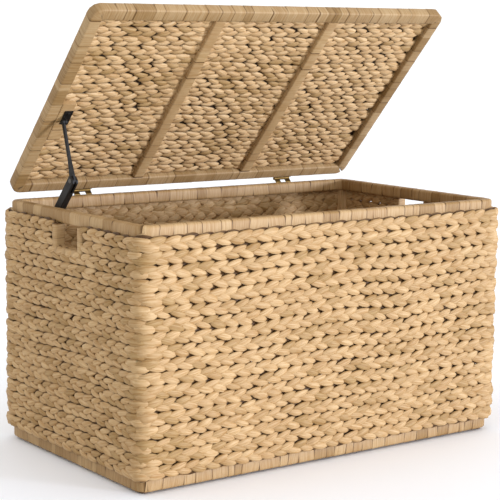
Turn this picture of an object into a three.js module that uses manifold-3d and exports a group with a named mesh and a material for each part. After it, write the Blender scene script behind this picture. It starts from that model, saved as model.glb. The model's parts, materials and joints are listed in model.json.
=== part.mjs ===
// Woven storage chest with a hinged lid, a folding soft-close stay and a hand hole in each end.
// Millimetres, +Z up. X runs along the chest, the front faces -Y, and the origin is on the floor
// under the middle of the chest. The lid is modelled part open.
import * as THREE from "three";
import { mergeVertices } from "three/addons/utils/BufferGeometryUtils.js";
import Module from "manifold-3d";

const wasm = await Module();
wasm.setup();

// ---- driving dimensions ----
const gap = 0.3; // between pieces that rest on each other
const overrun = 10; // cutting tools run past the faces they cut
const facets = { corner: 6, plan: 8, bar: 10, screw: 12, rivet: 16, pin: 20 };

const chest = {
  length: 840, // over the wrapped rims
  depth: 484,
  height: 470, // from the bottom band to the top of the rim
  rimRadius: 12,
};
const rail = { thick: 20, topHeight: 24, bottomHeight: 24 };
const weave = { thick: 12, proud: 9, cornerRadius: 22 }; // proud of the rims
const post = { size: 16 };
const floorBoard = { thick: 6 };
const foot = { radius: 9, height: 4, inset: 18, chamfer: 1 };

const handle = { width: 76, height: 43, trimThick: 5, trimDepth: 18, trimProud: 6 };

const lid = {
  endInset: 4, // each end of the lid, inside the end of the rim
  frontInset: 4, // the back edges are flush
  thick: 21,
  railWidth: 25,
  cornerRadius: 16,
  slatWidth: 24,
  slatThick: 11,
  overRim: 2, // air between the closed lid and the rim
  openAngle: 47.4,
};

const hinge = {
  back: 9, // axis behind the back face of the rim
  up: 8, // axis above the rim
  width: 40,
  fromEnd: 168, // middle of each hinge from the end of the rim
  leafThick: 1.5,
  leafDrop: 18, // leaf on the rim, below its top
  leafRise: 12, // leaf on the lid, above the axis
  knuckleRadius: 3.6,
  pinRadius: 1.6,
  pinPlay: 0.15,
  pinStickOut: 1,
  webHalf: 1.2,
  screwInset: 7, // from the ends of a leaf
  screwShift: 1, // off the middle of a leaf, away from the knuckles
  leafLift: 2, // lid leaf above the underside of the lid
};

const stay = {
  fromEnd: 37, // bar centre inside the end of the chest
  wallForward: 86.6, // wall pivot from the hinge axis
  wallDown: 80.2,
  lidForward: 220, // lid pivot from the hinge axis, along the closed lid
  lidDown: 18,
  housingLength: 165, // between pivots
  barLength: 112.9,
  housingDepth: 19,
  housingThick: 13,
  housingPastWall: 14,
  housingPastElbow: 7,
  housingEdge: 1.4,
  housingWallChamfer: 3,
  housingElbowChamfer: 4,
  slotDepth: 31,
  slotPlay: 0.5, // each side of the bar
  barThick: 4,
  barWidth: 7.5,
  barElbowWidth: 15,
  barShoulder: 10.5,
  barTaper: 42,
  barEyeWall: 2.4,
  pinRadius: 3,
  pinPlay: 0.2,
  pinHeadRadius: 5.2,
  pinHeadHeight: 2,
  pinRimHeight: 1,
  pinCrownRadius: 3.6,
  pinSink: 4, // how far the wall pin is riveted into the block
  plateThick: 1.8,
};
const wallBlock = { width: 44, belowPivot: 24 };
const wallPlate = { width: 34, above: 30, below: 16, corner: 4, screwBelow: 10, screwAbove: 23 };
const pad = { width: 28.4, fromHinge: 160, length: 95 };
const lidBracket = {
  baseWidth: 15,
  baseLength: 34,
  earThick: 2.5,
  earRadius: 6.5,
  screwInset: 6,
  screwAside: 1, // from the middle of the base, towards the ear
};
const rivet = { head: 4.6, crown: 3.45, headHeight: 1.4, dome: 0.5, shank: 2.4, sink: 2.6 };
const screw = {
  radius: 1.7,
  length: 11,
  pointRadius: 0.7,
  pointLength: 2,
  headRadius: 3.4,
  crownRadius: 2.7,
  rimHeight: 1.2,
  headHeight: 1.6,
  play: 0.15,
};

// ---- derived places ----
const halfLength = chest.length / 2;
const halfDepth = chest.depth / 2;
const bandBottom = foot.height;
const bottomRailTop = bandBottom + rail.bottomHeight;
const rimTop = bandBottom + chest.height;
const topRailBottom = rimTop - rail.topHeight;
const outerHalfLength = halfLength + weave.proud;
const outerHalfDepth = halfDepth + weave.proud;
const innerHalfLength = outerHalfLength - weave.thick; // inner face of the woven walls
const innerHalfDepth = outerHalfDepth - weave.thick;
const hingeY = halfDepth + hinge.back;
const hingeZ = rimTop + hinge.up;
const lidUnder = lid.overRim - hinge.up; // lid heights are from the hinge axis
const lidTop = lidUnder + lid.thick;
const lidBackY = -hinge.back;
const lidFrontY = lidBackY - chest.depth + lid.frontInset;
const lidHalfLength = halfLength - lid.endInset;
const openAngle = THREE.MathUtils.degToRad(lid.openAngle);
const stayX = -(halfLength - stay.fromEnd);
const housingHalf = stay.housingThick / 2;
const wallBottom = bottomRailTop + gap;
const wallTop = topRailBottom - gap;

// Heights of the hinge screws: on the rim in chest heights, on the lid from the hinge axis.
const lowerScrewZ = rimTop - hinge.leafDrop / 2 - hinge.screwShift;
const upperScrewZ = (lidUnder + lidTop) / 2 + hinge.screwShift;
const hingeCentres = [["left", hinge.fromEnd - halfLength], ["right", halfLength - hinge.fromEnd]];
const hingeScrewOffset = hinge.width / 2 - hinge.screwInset;
const knuckleX = hinge.width / 6; // half of the lid's middle knuckle

const sideRailBackY = lidBackY - lid.railWidth - gap;
const sideRailFrontY = lidFrontY + lid.railWidth + gap;
const lidClearHalf = lidHalfLength - lid.railWidth; // half the clear length between the side rails
const bayWidth = (2 * lidClearHalf - 2 * lid.slatWidth) / 3;
const slatX = bayWidth / 2 + lid.slatWidth / 2;
const slatTop = lidUnder + lid.slatThick;

const sides = [["front", -1], ["back", 1]];
const ends = [["left", -1], ["right", 1]];

// ---- materials ----
function finish(color, roughness, metalness = 0) {
  return new THREE.MeshStandardMaterial({ color, roughness, metalness });
}
const wrappedStrip = finish("#d8b387", 0.62);
const braid = finish("#e3bd90", 0.7);
const innerStrip = finish("#a98657", 0.75);
const bareWood = finish("#c9a878", 0.6);
const footPlastic = finish("#4a3524", 0.5);
const zincSteel = finish("#c9a35a", 0.35, 1);
const blackSteel = finish("#26231f", 0.45, 0.6);
const blackPlastic = finish("#1d1a17", 0.4);
const rivetSteel = finish("#a9a49a", 0.3, 1);

// ---- solids ----
function solidOf(geometry) {
  const bare = geometry.clone();
  bare.deleteAttribute("normal");
  bare.deleteAttribute("uv");
  const merged = mergeVertices(bare, 1e-4);
  const triVerts = new Uint32Array(merged.index.array);
  const vertProperties = merged.attributes.position.array;
  return new wasm.Manifold(new wasm.Mesh({ numProp: 3, vertProperties, triVerts }));
}

function geometryOf(solid) {
  const { vertProperties, triVerts } = solid.getMesh();
  const geometry = new THREE.BufferGeometry();
  geometry.setAttribute("position", new THREE.BufferAttribute(vertProperties.slice(), 3));
  geometry.setIndex([...triVerts]);
  geometry.computeVertexNormals();
  return geometry;
}

function cut(geometry, ...tools) {
  const left = tools.reduce((solid, tool) => solid.subtract(solidOf(tool)), solidOf(geometry));
  return geometryOf(left);
}

function join(...pieces) {
  return geometryOf(pieces.map(solidOf).reduce((sum, piece) => sum.add(piece)));
}

// A box given by its lowest and highest corners.
function box(low, high) {
  const size = high.map((value, axis) => value - low[axis]);
  const middle = high.map((value, axis) => (value + low[axis]) / 2);
  return new THREE.BoxGeometry(...size).translate(...middle);
}

// A plan outline raised from one height to another.
function raise(shape, fromZ, toZ, curveSegments = facets.plan) {
  const options = { depth: toZ - fromZ, bevelEnabled: false, curveSegments };
  return new THREE.ExtrudeGeometry(shape, options).translate(0, 0, fromZ);
}

// Turns an outline drawn in X and Y, and raised along Z, to lie in Y and Z and run along X.
const layAlongX = new THREE.Matrix4().makeBasis(
  new THREE.Vector3(0, 1, 0),
  new THREE.Vector3(0, 0, 1),
  new THREE.Vector3(1, 0, 0),
);

// A side outline, drawn in Y and Z, carried along X.
function alongX(shape, fromX, toX, curveSegments = facets.plan) {
  const options = { depth: toX - fromX, bevelEnabled: false, curveSegments };
  return new THREE.ExtrudeGeometry(shape, options).applyMatrix4(layAlongX).translate(fromX, 0, 0);
}

// A round bar along X; y and z place its axis.
function rodX(radius, fromX, toX, y = 0, z = 0, facetCount = facets.pin) {
  const rod = new THREE.CylinderGeometry(radius, radius, toX - fromX, facetCount);
  return rod.rotateZ(Math.PI / 2).translate((fromX + toX) / 2, y, z);
}

function polygon(points) {
  return new THREE.Shape(points.map(([x, y]) => new THREE.Vector2(x, y)));
}

function named(name, geometry, material, parent) {
  const mesh = new THREE.Mesh(geometry, material);
  mesh.name = name;
  parent.add(mesh);
  return mesh;
}

// A screw along +Z: its seat is at z = 0, the head above and the shank below.
function screwGeometry() {
  const profile = [
    [0, -screw.length],
    [screw.pointRadius, -screw.length],
    [screw.radius, -screw.length + screw.pointLength],
    [screw.radius, 0],
    [screw.headRadius, 0],
    [screw.crownRadius, screw.rimHeight],
    [0, screw.headHeight],
  ];
  const points = profile.map(([radius, height]) => new THREE.Vector2(radius, height));
  return new THREE.LatheGeometry(points, facets.screw).rotateX(Math.PI / 2);
}

// The hole that such a screw sits in, a little longer and wider than its shank.
function screwHole() {
  const radius = screw.radius + screw.play;
  const length = screw.length + 2 * gap;
  return new THREE.CylinderGeometry(radius, radius, length + overrun, facets.screw)
    .rotateX(Math.PI / 2)
    .translate(0, 0, (overrun - length) / 2);
}

const towardsBack = new THREE.Matrix4().makeRotationX(-Math.PI / 2); // +Z to +Y
const towardsRight = new THREE.Matrix4().makeRotationY(Math.PI / 2); // +Z to +X
const towardsFloor = new THREE.Matrix4().makeRotationX(Math.PI); // +Z to -Z

function placed(geometry, turn, place) {
  return geometry.applyMatrix4(turn).translate(...place);
}

// ---- chest ----
const ottoman = new THREE.Group();

// Plan of a long rail with its two outer corners rounded; sign tells which way it faces.
function railPlan(halfRun, outer, width, radius, sign) {
  const centreX = halfRun - radius;
  const centreY = outer - sign * radius;
  const quarter = (sign * Math.PI) / 2;
  const plan = new THREE.Shape();
  plan.moveTo(-halfRun, outer - sign * width);
  plan.lineTo(-halfRun, centreY);
  plan.absarc(-centreX, centreY, radius, Math.PI, quarter, sign > 0);
  plan.lineTo(centreX, outer);
  plan.absarc(centreX, centreY, radius, quarter, 0, sign > 0);
  plan.lineTo(halfRun, outer - sign * width);
  return plan;
}

// A rim: the long rails carry the rounded corners and the short ones fit between them.
function rim(level, bottom, top) {
  for (const [side, sign] of sides) {
    const plan = railPlan(halfLength, sign * halfDepth, rail.thick, chest.rimRadius, sign);
    const holes = level === "top" && sign > 0 ? hingeScrews(lowerScrewZ, hingeY - hinge.back) : [];
    const solid = cut(raise(plan, bottom, top, facets.corner), ...holes.map((hole) => hole()));
    named(`${level}_rail_${side}`, solid, wrappedStrip, ottoman);
  }
  const reach = halfDepth - rail.thick - gap;
  const half = rail.thick / 2;
  for (const [end, sign] of ends) {
    const solid = box([-half, -reach, bottom], [half, reach, top]);
    named(`${level}_rail_${end}`, solid, wrappedStrip, ottoman).position.x = sign * (halfLength - half);
  }
}

// Makers of the screw holes behind the hinge leaves, drilled forward from a back face.
function hingeScrews(z, backY) {
  return hingeCentres.flatMap(([, x]) =>
    [-1, 1].map((side) => () =>
      placed(screwHole(), towardsBack, [x + side * hingeScrewOffset, backY, z]),
    ),
  );
}

// A post stands in each corner, rounded to follow the inside of the woven corner.
function posts() {
  const radius = weave.cornerRadius - weave.thick - gap;
  const reachX = innerHalfLength - gap;
  const reachY = innerHalfDepth - gap;
  for (const [end, sx] of ends)
    for (const [side, sy] of sides) {
      const plan = new THREE.Shape();
      plan.moveTo(-post.size, 0);
      plan.lineTo(-post.size, -post.size);
      plan.lineTo(0, -post.size);
      plan.lineTo(0, -radius);
      plan.absarc(-radius, -radius, radius, 0, Math.PI / 2, false);
      const geometry = raise(plan, wallBottom, wallTop, facets.corner);
      const quarter = sx > 0 ? (sy > 0 ? 0 : -1) : sy > 0 ? 1 : 2;
      const mesh = named(`post_${side}_${end}`, geometry, innerStrip, ottoman);
      mesh.rotation.z = (quarter * Math.PI) / 2;
      mesh.position.set(sx * reachX, sy * reachY, 0);
    }
}

// Plan of one woven wall, outer face towards -Y, its rounded ends mitred at 45 degrees.
function wallPlan(halfRun, halfAcross) {
  const outer = weave.cornerRadius;
  const inner = outer - weave.thick;
  const centreX = halfRun - outer;
  const centreY = -halfAcross + outer;
  const mitre = Math.PI / 4 + Math.asin(gap / inner);
  const plan = new THREE.Shape();
  plan.moveTo(-centreX, -halfAcross);
  plan.lineTo(centreX, -halfAcross);
  plan.absarc(centreX, centreY, outer, -Math.PI / 2, -mitre, false);
  plan.absarc(centreX, centreY, inner, -mitre, -Math.PI / 2, true);
  plan.lineTo(-centreX, -halfAcross + weave.thick);
  plan.absarc(-centreX, centreY, inner, -Math.PI / 2, -Math.PI + mitre, true);
  plan.absarc(-centreX, centreY, outer, -Math.PI + mitre, -Math.PI / 2, false);
  return plan;
}

function wovenWalls() {
  const trimReach = handle.width / 2 + handle.trimThick + gap;
  const notchBottom = topRailBottom - handle.height - handle.trimThick - gap;
  const fromY = -outerHalfLength - overrun;
  const toY = -innerHalfLength + overrun;
  const notch = () => box([-trimReach, fromY, notchBottom], [trimReach, toY, rimTop]);
  const long = () => raise(wallPlan(outerHalfLength, outerHalfDepth), wallBottom, wallTop);
  const short = () => cut(raise(wallPlan(outerHalfDepth, outerHalfLength), wallBottom, wallTop), notch());
  named("woven_wall_front", long(), braid, ottoman);
  named("woven_wall_back", long(), braid, ottoman).rotation.z = Math.PI;
  named("woven_wall_left", short(), braid, ottoman).rotation.z = -Math.PI / 2;
  named("woven_wall_right", short(), braid, ottoman).rotation.z = Math.PI / 2;
}

// A wrapped frame lines three sides of each hand hole; the rim closes the fourth.
function handleTrims() {
  const halfHole = handle.width / 2;
  const halfTrim = halfHole + handle.trimThick;
  const top = wallTop;
  const holeBottom = top - handle.height;
  const outline = polygon([
    [-halfTrim, holeBottom - handle.trimThick],
    [halfTrim, holeBottom - handle.trimThick],
    [halfTrim, top],
    [halfHole, top],
    [halfHole, holeBottom],
    [-halfHole, holeBottom],
    [-halfHole, top],
    [-halfTrim, top],
  ]);
  const outerX = halfLength + handle.trimProud;
  for (const [end, sign] of ends) {
    const mesh = named(`handle_trim_${end}`, alongX(outline, -handle.trimDepth, 0), wrappedStrip, ottoman);
    mesh.rotation.z = sign < 0 ? Math.PI : 0;
    mesh.position.x = sign * outerX;
  }
}

// The floor board lies on the bottom rails, notched round the posts.
function floor() {
  const reachX = innerHalfLength - 2 * gap;
  const reachY = innerHalfDepth - 2 * gap;
  const notch = post.size + 2 * gap;
  const corners = [];
  for (const [sx, sy] of [[-1, -1], [1, -1], [1, 1], [-1, 1]]) {
    const along = [sx * reachX, sy * (reachY - notch)];
    const inside = [sx * (reachX - notch), sy * (reachY - notch)];
    const across = [sx * (reachX - notch), sy * reachY];
    corners.push(...(sx === sy ? [along, inside, across] : [across, inside, along]));
  }
  const board = raise(polygon(corners), wallBottom, wallBottom + floorBoard.thick);
  named("floor_board", board, bareWood, ottoman);
}

function feet() {
  const { radius, height, chamfer } = foot;
  const top = height - gap;
  const profile = [[0, 0], [radius - chamfer, 0], [radius, chamfer], [radius, top], [0, top]];
  const points = profile.map(([r, z]) => new THREE.Vector2(r, z));
  for (const [end, sx] of ends)
    for (const [side, sy] of sides) {
      const geometry = new THREE.LatheGeometry(points, facets.pin).rotateX(Math.PI / 2);
      const mesh = named(`foot_${side}_${end}`, geometry, footPlastic, ottoman);
      mesh.position.set(sx * (halfLength - foot.inset), sy * (halfDepth - foot.inset), 0);
    }
}

// ---- hinges ----
function leafWithKnuckles(plate, web, knuckleSpans) {
  const hole = rodX(hinge.pinRadius + hinge.pinPlay, -hinge.width, hinge.width);
  const pieces = [plate];
  for (const [from, to] of knuckleSpans)
    pieces.push(alongX(polygon(web), from, to), rodX(hinge.knuckleRadius, from, to));
  return cut(join(...pieces), hole);
}

// Leaf and web outlines are from the hinge axis. The web is cranked from the leaf to the knuckle.
function chestLeaf() {
  const { webHalf } = hinge;
  const near = -hinge.back + gap;
  const far = near + hinge.leafThick;
  const top = -hinge.up;
  const bottom = top - hinge.leafDrop;
  const plate = box([-hinge.width / 2, near, bottom], [hinge.width / 2, far, top]);
  const web = [
    [near, top - webHalf],
    [far, top - webHalf],
    [far, top + webHalf / 2],
    [0, -webHalf],
    [-webHalf, webHalf / 3],
    [near, top + webHalf],
  ];
  const half = hinge.width / 2;
  const spans = [[-half, -knuckleX - gap], [knuckleX + gap, half]];
  return drilled(leafWithKnuckles(plate, web, spans), lowerScrewZ - hingeZ, near);
}

function lidLeaf() {
  const { webHalf } = hinge;
  const near = lidBackY + gap;
  const far = near + hinge.leafThick;
  const top = hinge.leafRise;
  const bottom = lidUnder + hinge.leafLift;
  const plate = box([-hinge.width / 2, near, bottom], [hinge.width / 2, far, top]);
  const web = [[near, -webHalf / 2], [0, -webHalf], [0, webHalf], [far, 2 * webHalf], [near, 2 * webHalf]];
  return drilled(leafWithKnuckles(plate, web, [[-knuckleX, knuckleX]]), upperScrewZ, near);
}

function drilled(leaf, z, y) {
  const holes = [-1, 1].map((side) => placed(screwHole(), towardsBack, [side * hingeScrewOffset, y, z]));
  return cut(leaf, ...holes);
}

function hinges(lidFrame) {
  for (const [side, x] of hingeCentres) {
    named(`hinge_leaf_chest_${side}`, chestLeaf(), zincSteel, ottoman).position.set(x, hingeY, hingeZ);
    named(`hinge_leaf_lid_${side}`, lidLeaf(), zincSteel, lidFrame).position.x = x;
    const reach = hinge.width / 2 + hinge.pinStickOut;
    const pin = rodX(hinge.pinRadius, -reach, reach, 0, 0, facets.rivet);
    named(`hinge_pin_${side}`, pin, zincSteel, ottoman).position.set(x, hingeY, hingeZ);
    const seat = -hinge.back + 2 * gap + hinge.leafThick;
    for (const [hand, sign] of [["a", -1], ["b", 1]]) {
      const along = x + sign * hingeScrewOffset;
      const onRim = placed(screwGeometry(), towardsBack, [along, hingeY + seat, lowerScrewZ]);
      const onLid = placed(screwGeometry(), towardsBack, [along, seat, upperScrewZ]);
      named(`hinge_screw_chest_${side}_${hand}`, onRim, zincSteel, ottoman);
      named(`hinge_screw_lid_${side}_${hand}`, onLid, zincSteel, lidFrame);
    }
  }
}

// ---- lid ----
function lidRails(lidFrame) {
  for (const [side, sign] of sides) {
    const outer = sign > 0 ? lidBackY : lidFrontY;
    const plan = railPlan(lidHalfLength, outer, lid.railWidth, lid.cornerRadius, sign);
    const holes = sign > 0 ? hingeScrews(upperScrewZ, lidBackY) : [];
    const solid = cut(raise(plan, lidUnder, lidTop, facets.corner), ...holes.map((hole) => hole()));
    named(`lid_rail_${side}`, solid, wrappedStrip, lidFrame);
  }
  const half = lid.railWidth / 2;
  for (const [end, sign] of ends) {
    const solid = box([-half, sideRailFrontY, lidUnder], [half, sideRailBackY, lidTop]);
    named(`lid_rail_${end}`, solid, wrappedStrip, lidFrame).position.x = sign * (lidHalfLength - half);
  }
}

// Two slats divide the underside in three; a woven panel covers each bay and lies on the slats.
function lidField(lidFrame) {
  const half = lid.slatWidth / 2;
  for (const [end, sign] of ends) {
    const slat = box([-half, sideRailFrontY, lidUnder], [half, sideRailBackY, slatTop]);
    named(`lid_slat_${end}`, slat, wrappedStrip, lidFrame).position.x = sign * slatX;
  }
  const edge = lidClearHalf - gap;
  const seam = gap / 2;
  const spans = [
    ["left", -edge, -slatX - seam],
    ["middle", -slatX + seam, slatX - seam],
    ["right", slatX + seam, edge],
  ];
  for (const [side, from, to] of spans) {
    const low = [from, sideRailFrontY, slatTop + gap];
    named(`lid_weave_${side}`, box(low, [to, sideRailBackY, lidTop]), braid, lidFrame);
  }
}

// ---- stay ----
// Turns a place on the closed lid to where it is with the lid open, seen along X from the hinge.
function openedPlace(forward, down) {
  const sine = Math.sin(openAngle);
  const cosine = Math.cos(openAngle);
  return [-forward * cosine - down * sine, forward * sine - down * cosine];
}

// The elbow is where the housing and the bar meet, on the front side of the two pivots.
function elbowPlace([wallY, wallZ], [lidY, lidZ]) {
  const apartY = lidY - wallY;
  const apartZ = lidZ - wallZ;
  const apart = Math.hypot(apartY, apartZ);
  const along = (stay.housingLength ** 2 - stay.barLength ** 2 + apart ** 2) / (2 * apart);
  const aside = Math.sqrt(stay.housingLength ** 2 - along ** 2);
  return [
    wallY + (apartY * along - apartZ * aside) / apart,
    wallZ + (apartZ * along + apartY * aside) / apart,
  ];
}

const wallPivot = [-stay.wallForward, -stay.wallDown];
const lidPivot = openedPlace(stay.lidForward, stay.lidDown);
const elbow = elbowPlace(wallPivot, lidPivot);

// The damper housing lies along local Y, wall pivot at 0, and forks round the bar at the elbow.
function housingGeometry() {
  const { housingDepth, housingEdge, housingPastWall, housingPastElbow, housingLength } = stay;
  const { housingWallChamfer, housingElbowChamfer } = stay;
  const half = housingDepth / 2;
  const low = -housingPastWall;
  const high = housingLength + housingPastElbow;
  const outline = polygon([
    [low + housingWallChamfer, -half],
    [high - housingElbowChamfer, -half],
    [high, -half + housingElbowChamfer],
    [high, half - housingElbowChamfer],
    [high - housingElbowChamfer, half],
    [low + housingWallChamfer, half],
    [low, half - housingWallChamfer],
    [low, -half + housingWallChamfer],
  ]);
  const inset = housingHalf - housingEdge;
  const options = {
    depth: 2 * inset,
    bevelThickness: housingEdge,
    bevelSize: housingEdge,
    bevelOffset: -housingEdge,
    bevelSegments: 2,
  };
  const body = new THREE.ExtrudeGeometry(outline, options).applyMatrix4(layAlongX).translate(-inset, 0, 0);
  const slotHalf = stay.barThick / 2 + stay.slotPlay;
  const slotEnd = high + overrun;
  const slot = box([-slotHalf, high - stay.slotDepth, -housingDepth], [slotHalf, slotEnd, housingDepth]);
  const reach = housingHalf + overrun;
  const hole = rodX(stay.pinRadius + stay.pinPlay, -reach, reach);
  const rivetHoles = rodX(rivet.shank + stay.pinPlay, -reach, reach, housingLength, 0, facets.rivet);
  return cut(body, slot, hole, rivetHoles);
}

// One half of the elbow rivet: a domed head on a cheek of the fork and a shank in its hole.
function rivetGeometry() {
  const { head, crown, headHeight, dome, shank, sink } = rivet;
  const profile = [
    [0, -sink],
    [shank, -sink],
    [shank, gap],
    [head, gap],
    [crown, headHeight],
    [0, headHeight + dome],
  ];
  const points = profile.map(([r, z]) => new THREE.Vector2(r, z));
  return new THREE.LatheGeometry(points, facets.rivet).rotateX(Math.PI / 2).applyMatrix4(towardsRight);
}

// The bar lies along local Y from the elbow, at 0, to the lid pivot, and widens to the elbow.
function barGeometry() {
  const { barLength, barWidth, barElbowWidth, barShoulder, barTaper, barThick } = stay;
  const wide = barElbowWidth / 2;
  const slim = barWidth / 2;
  const eye = stay.pinRadius + stay.barEyeWall;
  const eyeEnd = Math.PI - Math.asin(slim / eye); // where the eye meets the sides of the bar
  const outline = new THREE.Shape();
  outline.absarc(0, 0, wide, Math.PI / 2, (3 * Math.PI) / 2, false);
  outline.lineTo(barShoulder, -wide);
  outline.lineTo(barTaper, -slim);
  outline.absarc(barLength, 0, eye, -eyeEnd, eyeEnd, false);
  outline.lineTo(barTaper, slim);
  outline.lineTo(barShoulder, wide);
  const bar = alongX(outline, -barThick / 2, barThick / 2, facets.bar);
  return cut(bar, rodX(stay.pinRadius + stay.pinPlay, -barThick, barThick, barLength, 0));
}

// A pivot pin along +X: a shank from 0 and a head at its far end.
function pinGeometry(length) {
  const { pinRadius, pinHeadRadius, pinHeadHeight, pinRimHeight, pinCrownRadius } = stay;
  const profile = [
    [0, 0],
    [pinRadius, 0],
    [pinRadius, length],
    [pinHeadRadius, length],
    [pinHeadRadius, length + pinRimHeight],
    [pinCrownRadius, length + pinHeadHeight],
    [0, length + pinHeadHeight],
  ];
  const points = profile.map(([r, z]) => new THREE.Vector2(r, z));
  return new THREE.LatheGeometry(points, facets.pin).rotateX(Math.PI / 2).applyMatrix4(towardsRight);
}

const headRoom = screw.headHeight + 3 * gap; // the housing clears the heads of the wall screws
const plateOuterX = stayX - housingHalf - headRoom;
const blockFaceX = plateOuterX - stay.plateThick - gap;
const wallScrewRise = [-wallPlate.screwBelow, wallPlate.screwAbove];

// The block hangs under the rim inside the left wall; the plate is screwed to it.
function wallMount() {
  const pivotY = hingeY + wallPivot[0];
  const pivotZ = hingeZ + wallPivot[1];
  const low = [-innerHalfLength + gap, pivotY - wallBlock.width / 2, pivotZ - wallBlock.belowPivot];
  const high = [blockFaceX, pivotY + wallBlock.width / 2, topRailBottom - gap];
  const holes = () =>
    wallScrewRise.map((rise) => placed(screwHole(), towardsRight, [plateOuterX, pivotY, pivotZ + rise]));
  named("stay_wall_block", cut(box(low, high), ...holes(), pinSocket()), wrappedStrip, ottoman);

  const half = wallPlate.width / 2;
  const { above, below, corner } = wallPlate;
  const outline = polygon([
    [-half + corner, -below],
    [half - corner, -below],
    [half, -below + corner],
    [half, above - corner],
    [half - corner, above],
    [-half + corner, above],
    [-half, above - corner],
    [-half, -below + corner],
  ]);
  const plate = alongX(outline, -stay.plateThick, 0).translate(plateOuterX, pivotY, pivotZ);
  const pinHole = rodX(stay.pinRadius + stay.pinPlay, blockFaceX, plateOuterX + overrun, pivotY, pivotZ);
  named("stay_wall_plate", cut(plate, ...holes(), pinHole), blackSteel, ottoman);

  const pin = pinGeometry(stayX + housingHalf + gap - blockFaceX + stay.pinSink);
  named("stay_wall_pin", pin, rivetSteel, ottoman).position.set(blockFaceX - stay.pinSink, pivotY, pivotZ);
  for (const [hand, rise] of [["low", wallScrewRise[0]], ["high", wallScrewRise[1]]]) {
    const place = [plateOuterX + gap, pivotY, pivotZ + rise];
    named(`stay_wall_screw_${hand}`, placed(screwGeometry(), towardsRight, place), blackSteel, ottoman);
  }
}

function pinSocket() {
  const radius = stay.pinRadius + stay.pinPlay;
  const y = hingeY + wallPivot[0];
  const z = hingeZ + wallPivot[1];
  return rodX(radius, blockFaceX - stay.pinSink - gap, blockFaceX + overrun, y, z);
}

// The pad is a wrapped block beside the left lid rail; the bracket stands on it with its ear down.
function lidMount(lidFrame) {
  const padLeft = -lidClearHalf + gap;
  const halfBase = lidBracket.baseLength / 2;
  const screwReach = halfBase - lidBracket.screwInset;
  const screwY = [-stay.lidForward - screwReach, -stay.lidForward + screwReach];
  const earX = stayX + stay.barThick / 2 + gap;
  const baseTop = lidUnder - gap;
  const baseX = earX + lidBracket.earThick + lidBracket.baseWidth / 2 - lidBracket.screwAside;
  const holes = () => screwY.map((y) => placed(screwHole(), towardsFloor, [baseX, y, baseTop]));
  const padLow = [padLeft, -pad.fromHinge - pad.length, lidUnder];
  const padHigh = [padLeft + pad.width, -pad.fromHinge, slatTop];
  named("stay_lid_pad", cut(box(padLow, padHigh), ...holes()), wrappedStrip, lidFrame);

  const baseBottom = baseTop - stay.plateThick;
  const base = box(
    [earX, -stay.lidForward - halfBase, baseBottom],
    [earX + lidBracket.earThick + lidBracket.baseWidth, -stay.lidForward + halfBase, baseTop],
  );
  const ear = new THREE.Shape();
  const { earRadius } = lidBracket;
  ear.moveTo(-stay.lidForward - earRadius, baseTop);
  ear.lineTo(-stay.lidForward - earRadius, -stay.lidDown);
  ear.absarc(-stay.lidForward, -stay.lidDown, earRadius, Math.PI, 2 * Math.PI, false);
  ear.lineTo(-stay.lidForward + earRadius, baseTop);
  const earSolid = alongX(ear, earX, earX + lidBracket.earThick, facets.bar);
  const pinHoleRadius = stay.pinRadius + stay.pinPlay;
  const pinHole = rodX(pinHoleRadius, earX - overrun, earX + overrun, -stay.lidForward, -stay.lidDown);
  named("stay_lid_bracket", cut(join(base, earSolid), ...holes(), pinHole), blackSteel, lidFrame);

  // its head is on the outer side of the bar, and it ends flush in the ear
  const pin = pinGeometry(stay.barThick + gap + lidBracket.earThick + gap).rotateZ(Math.PI);
  const pinEnd = earX + lidBracket.earThick;
  named("stay_lid_pin", pin, rivetSteel, lidFrame).position.set(pinEnd, -stay.lidForward, -stay.lidDown);
  for (const [hand, y] of [["front", screwY[0]], ["back", screwY[1]]]) {
    const place = [baseX, y, baseBottom - gap];
    named(`stay_lid_screw_${hand}`, placed(screwGeometry(), towardsFloor, place), blackSteel, lidFrame);
  }
}

function stayLinks() {
  const housing = new THREE.Group();
  housing.position.set(stayX, hingeY + wallPivot[0], hingeZ + wallPivot[1]);
  housing.rotation.x = Math.atan2(elbow[1] - wallPivot[1], elbow[0] - wallPivot[0]);
  ottoman.add(housing);
  named("stay_housing", housingGeometry(), blackPlastic, housing);
  for (const [side, sign] of ends) {
    const half = named(`stay_elbow_rivet_${side}`, rivetGeometry(), rivetSteel, housing);
    half.rotation.z = sign > 0 ? 0 : Math.PI;
    half.position.set(sign * housingHalf, stay.housingLength, 0);
  }
  const bar = named("stay_bar", barGeometry(), blackSteel, ottoman);
  bar.position.set(stayX, hingeY + elbow[0], hingeZ + elbow[1]);
  bar.rotation.x = Math.atan2(lidPivot[1] - elbow[1], lidPivot[0] - elbow[0]);
}

// ---- the whole chest ----
rim("bottom", bandBottom, bottomRailTop);
rim("top", topRailBottom, rimTop);
posts();
wovenWalls();
handleTrims();
floor();
feet();

const lidFrame = new THREE.Group();
lidFrame.position.set(0, hingeY, hingeZ);
lidFrame.rotation.x = -openAngle;
ottoman.add(lidFrame);
lidRails(lidFrame);
lidField(lidFrame);
hinges(lidFrame);

wallMount();
lidMount(lidFrame);
stayLinks();

export default ottoman;
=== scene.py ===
import json
import math

import bpy
from mathutils import Matrix, Vector


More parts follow.
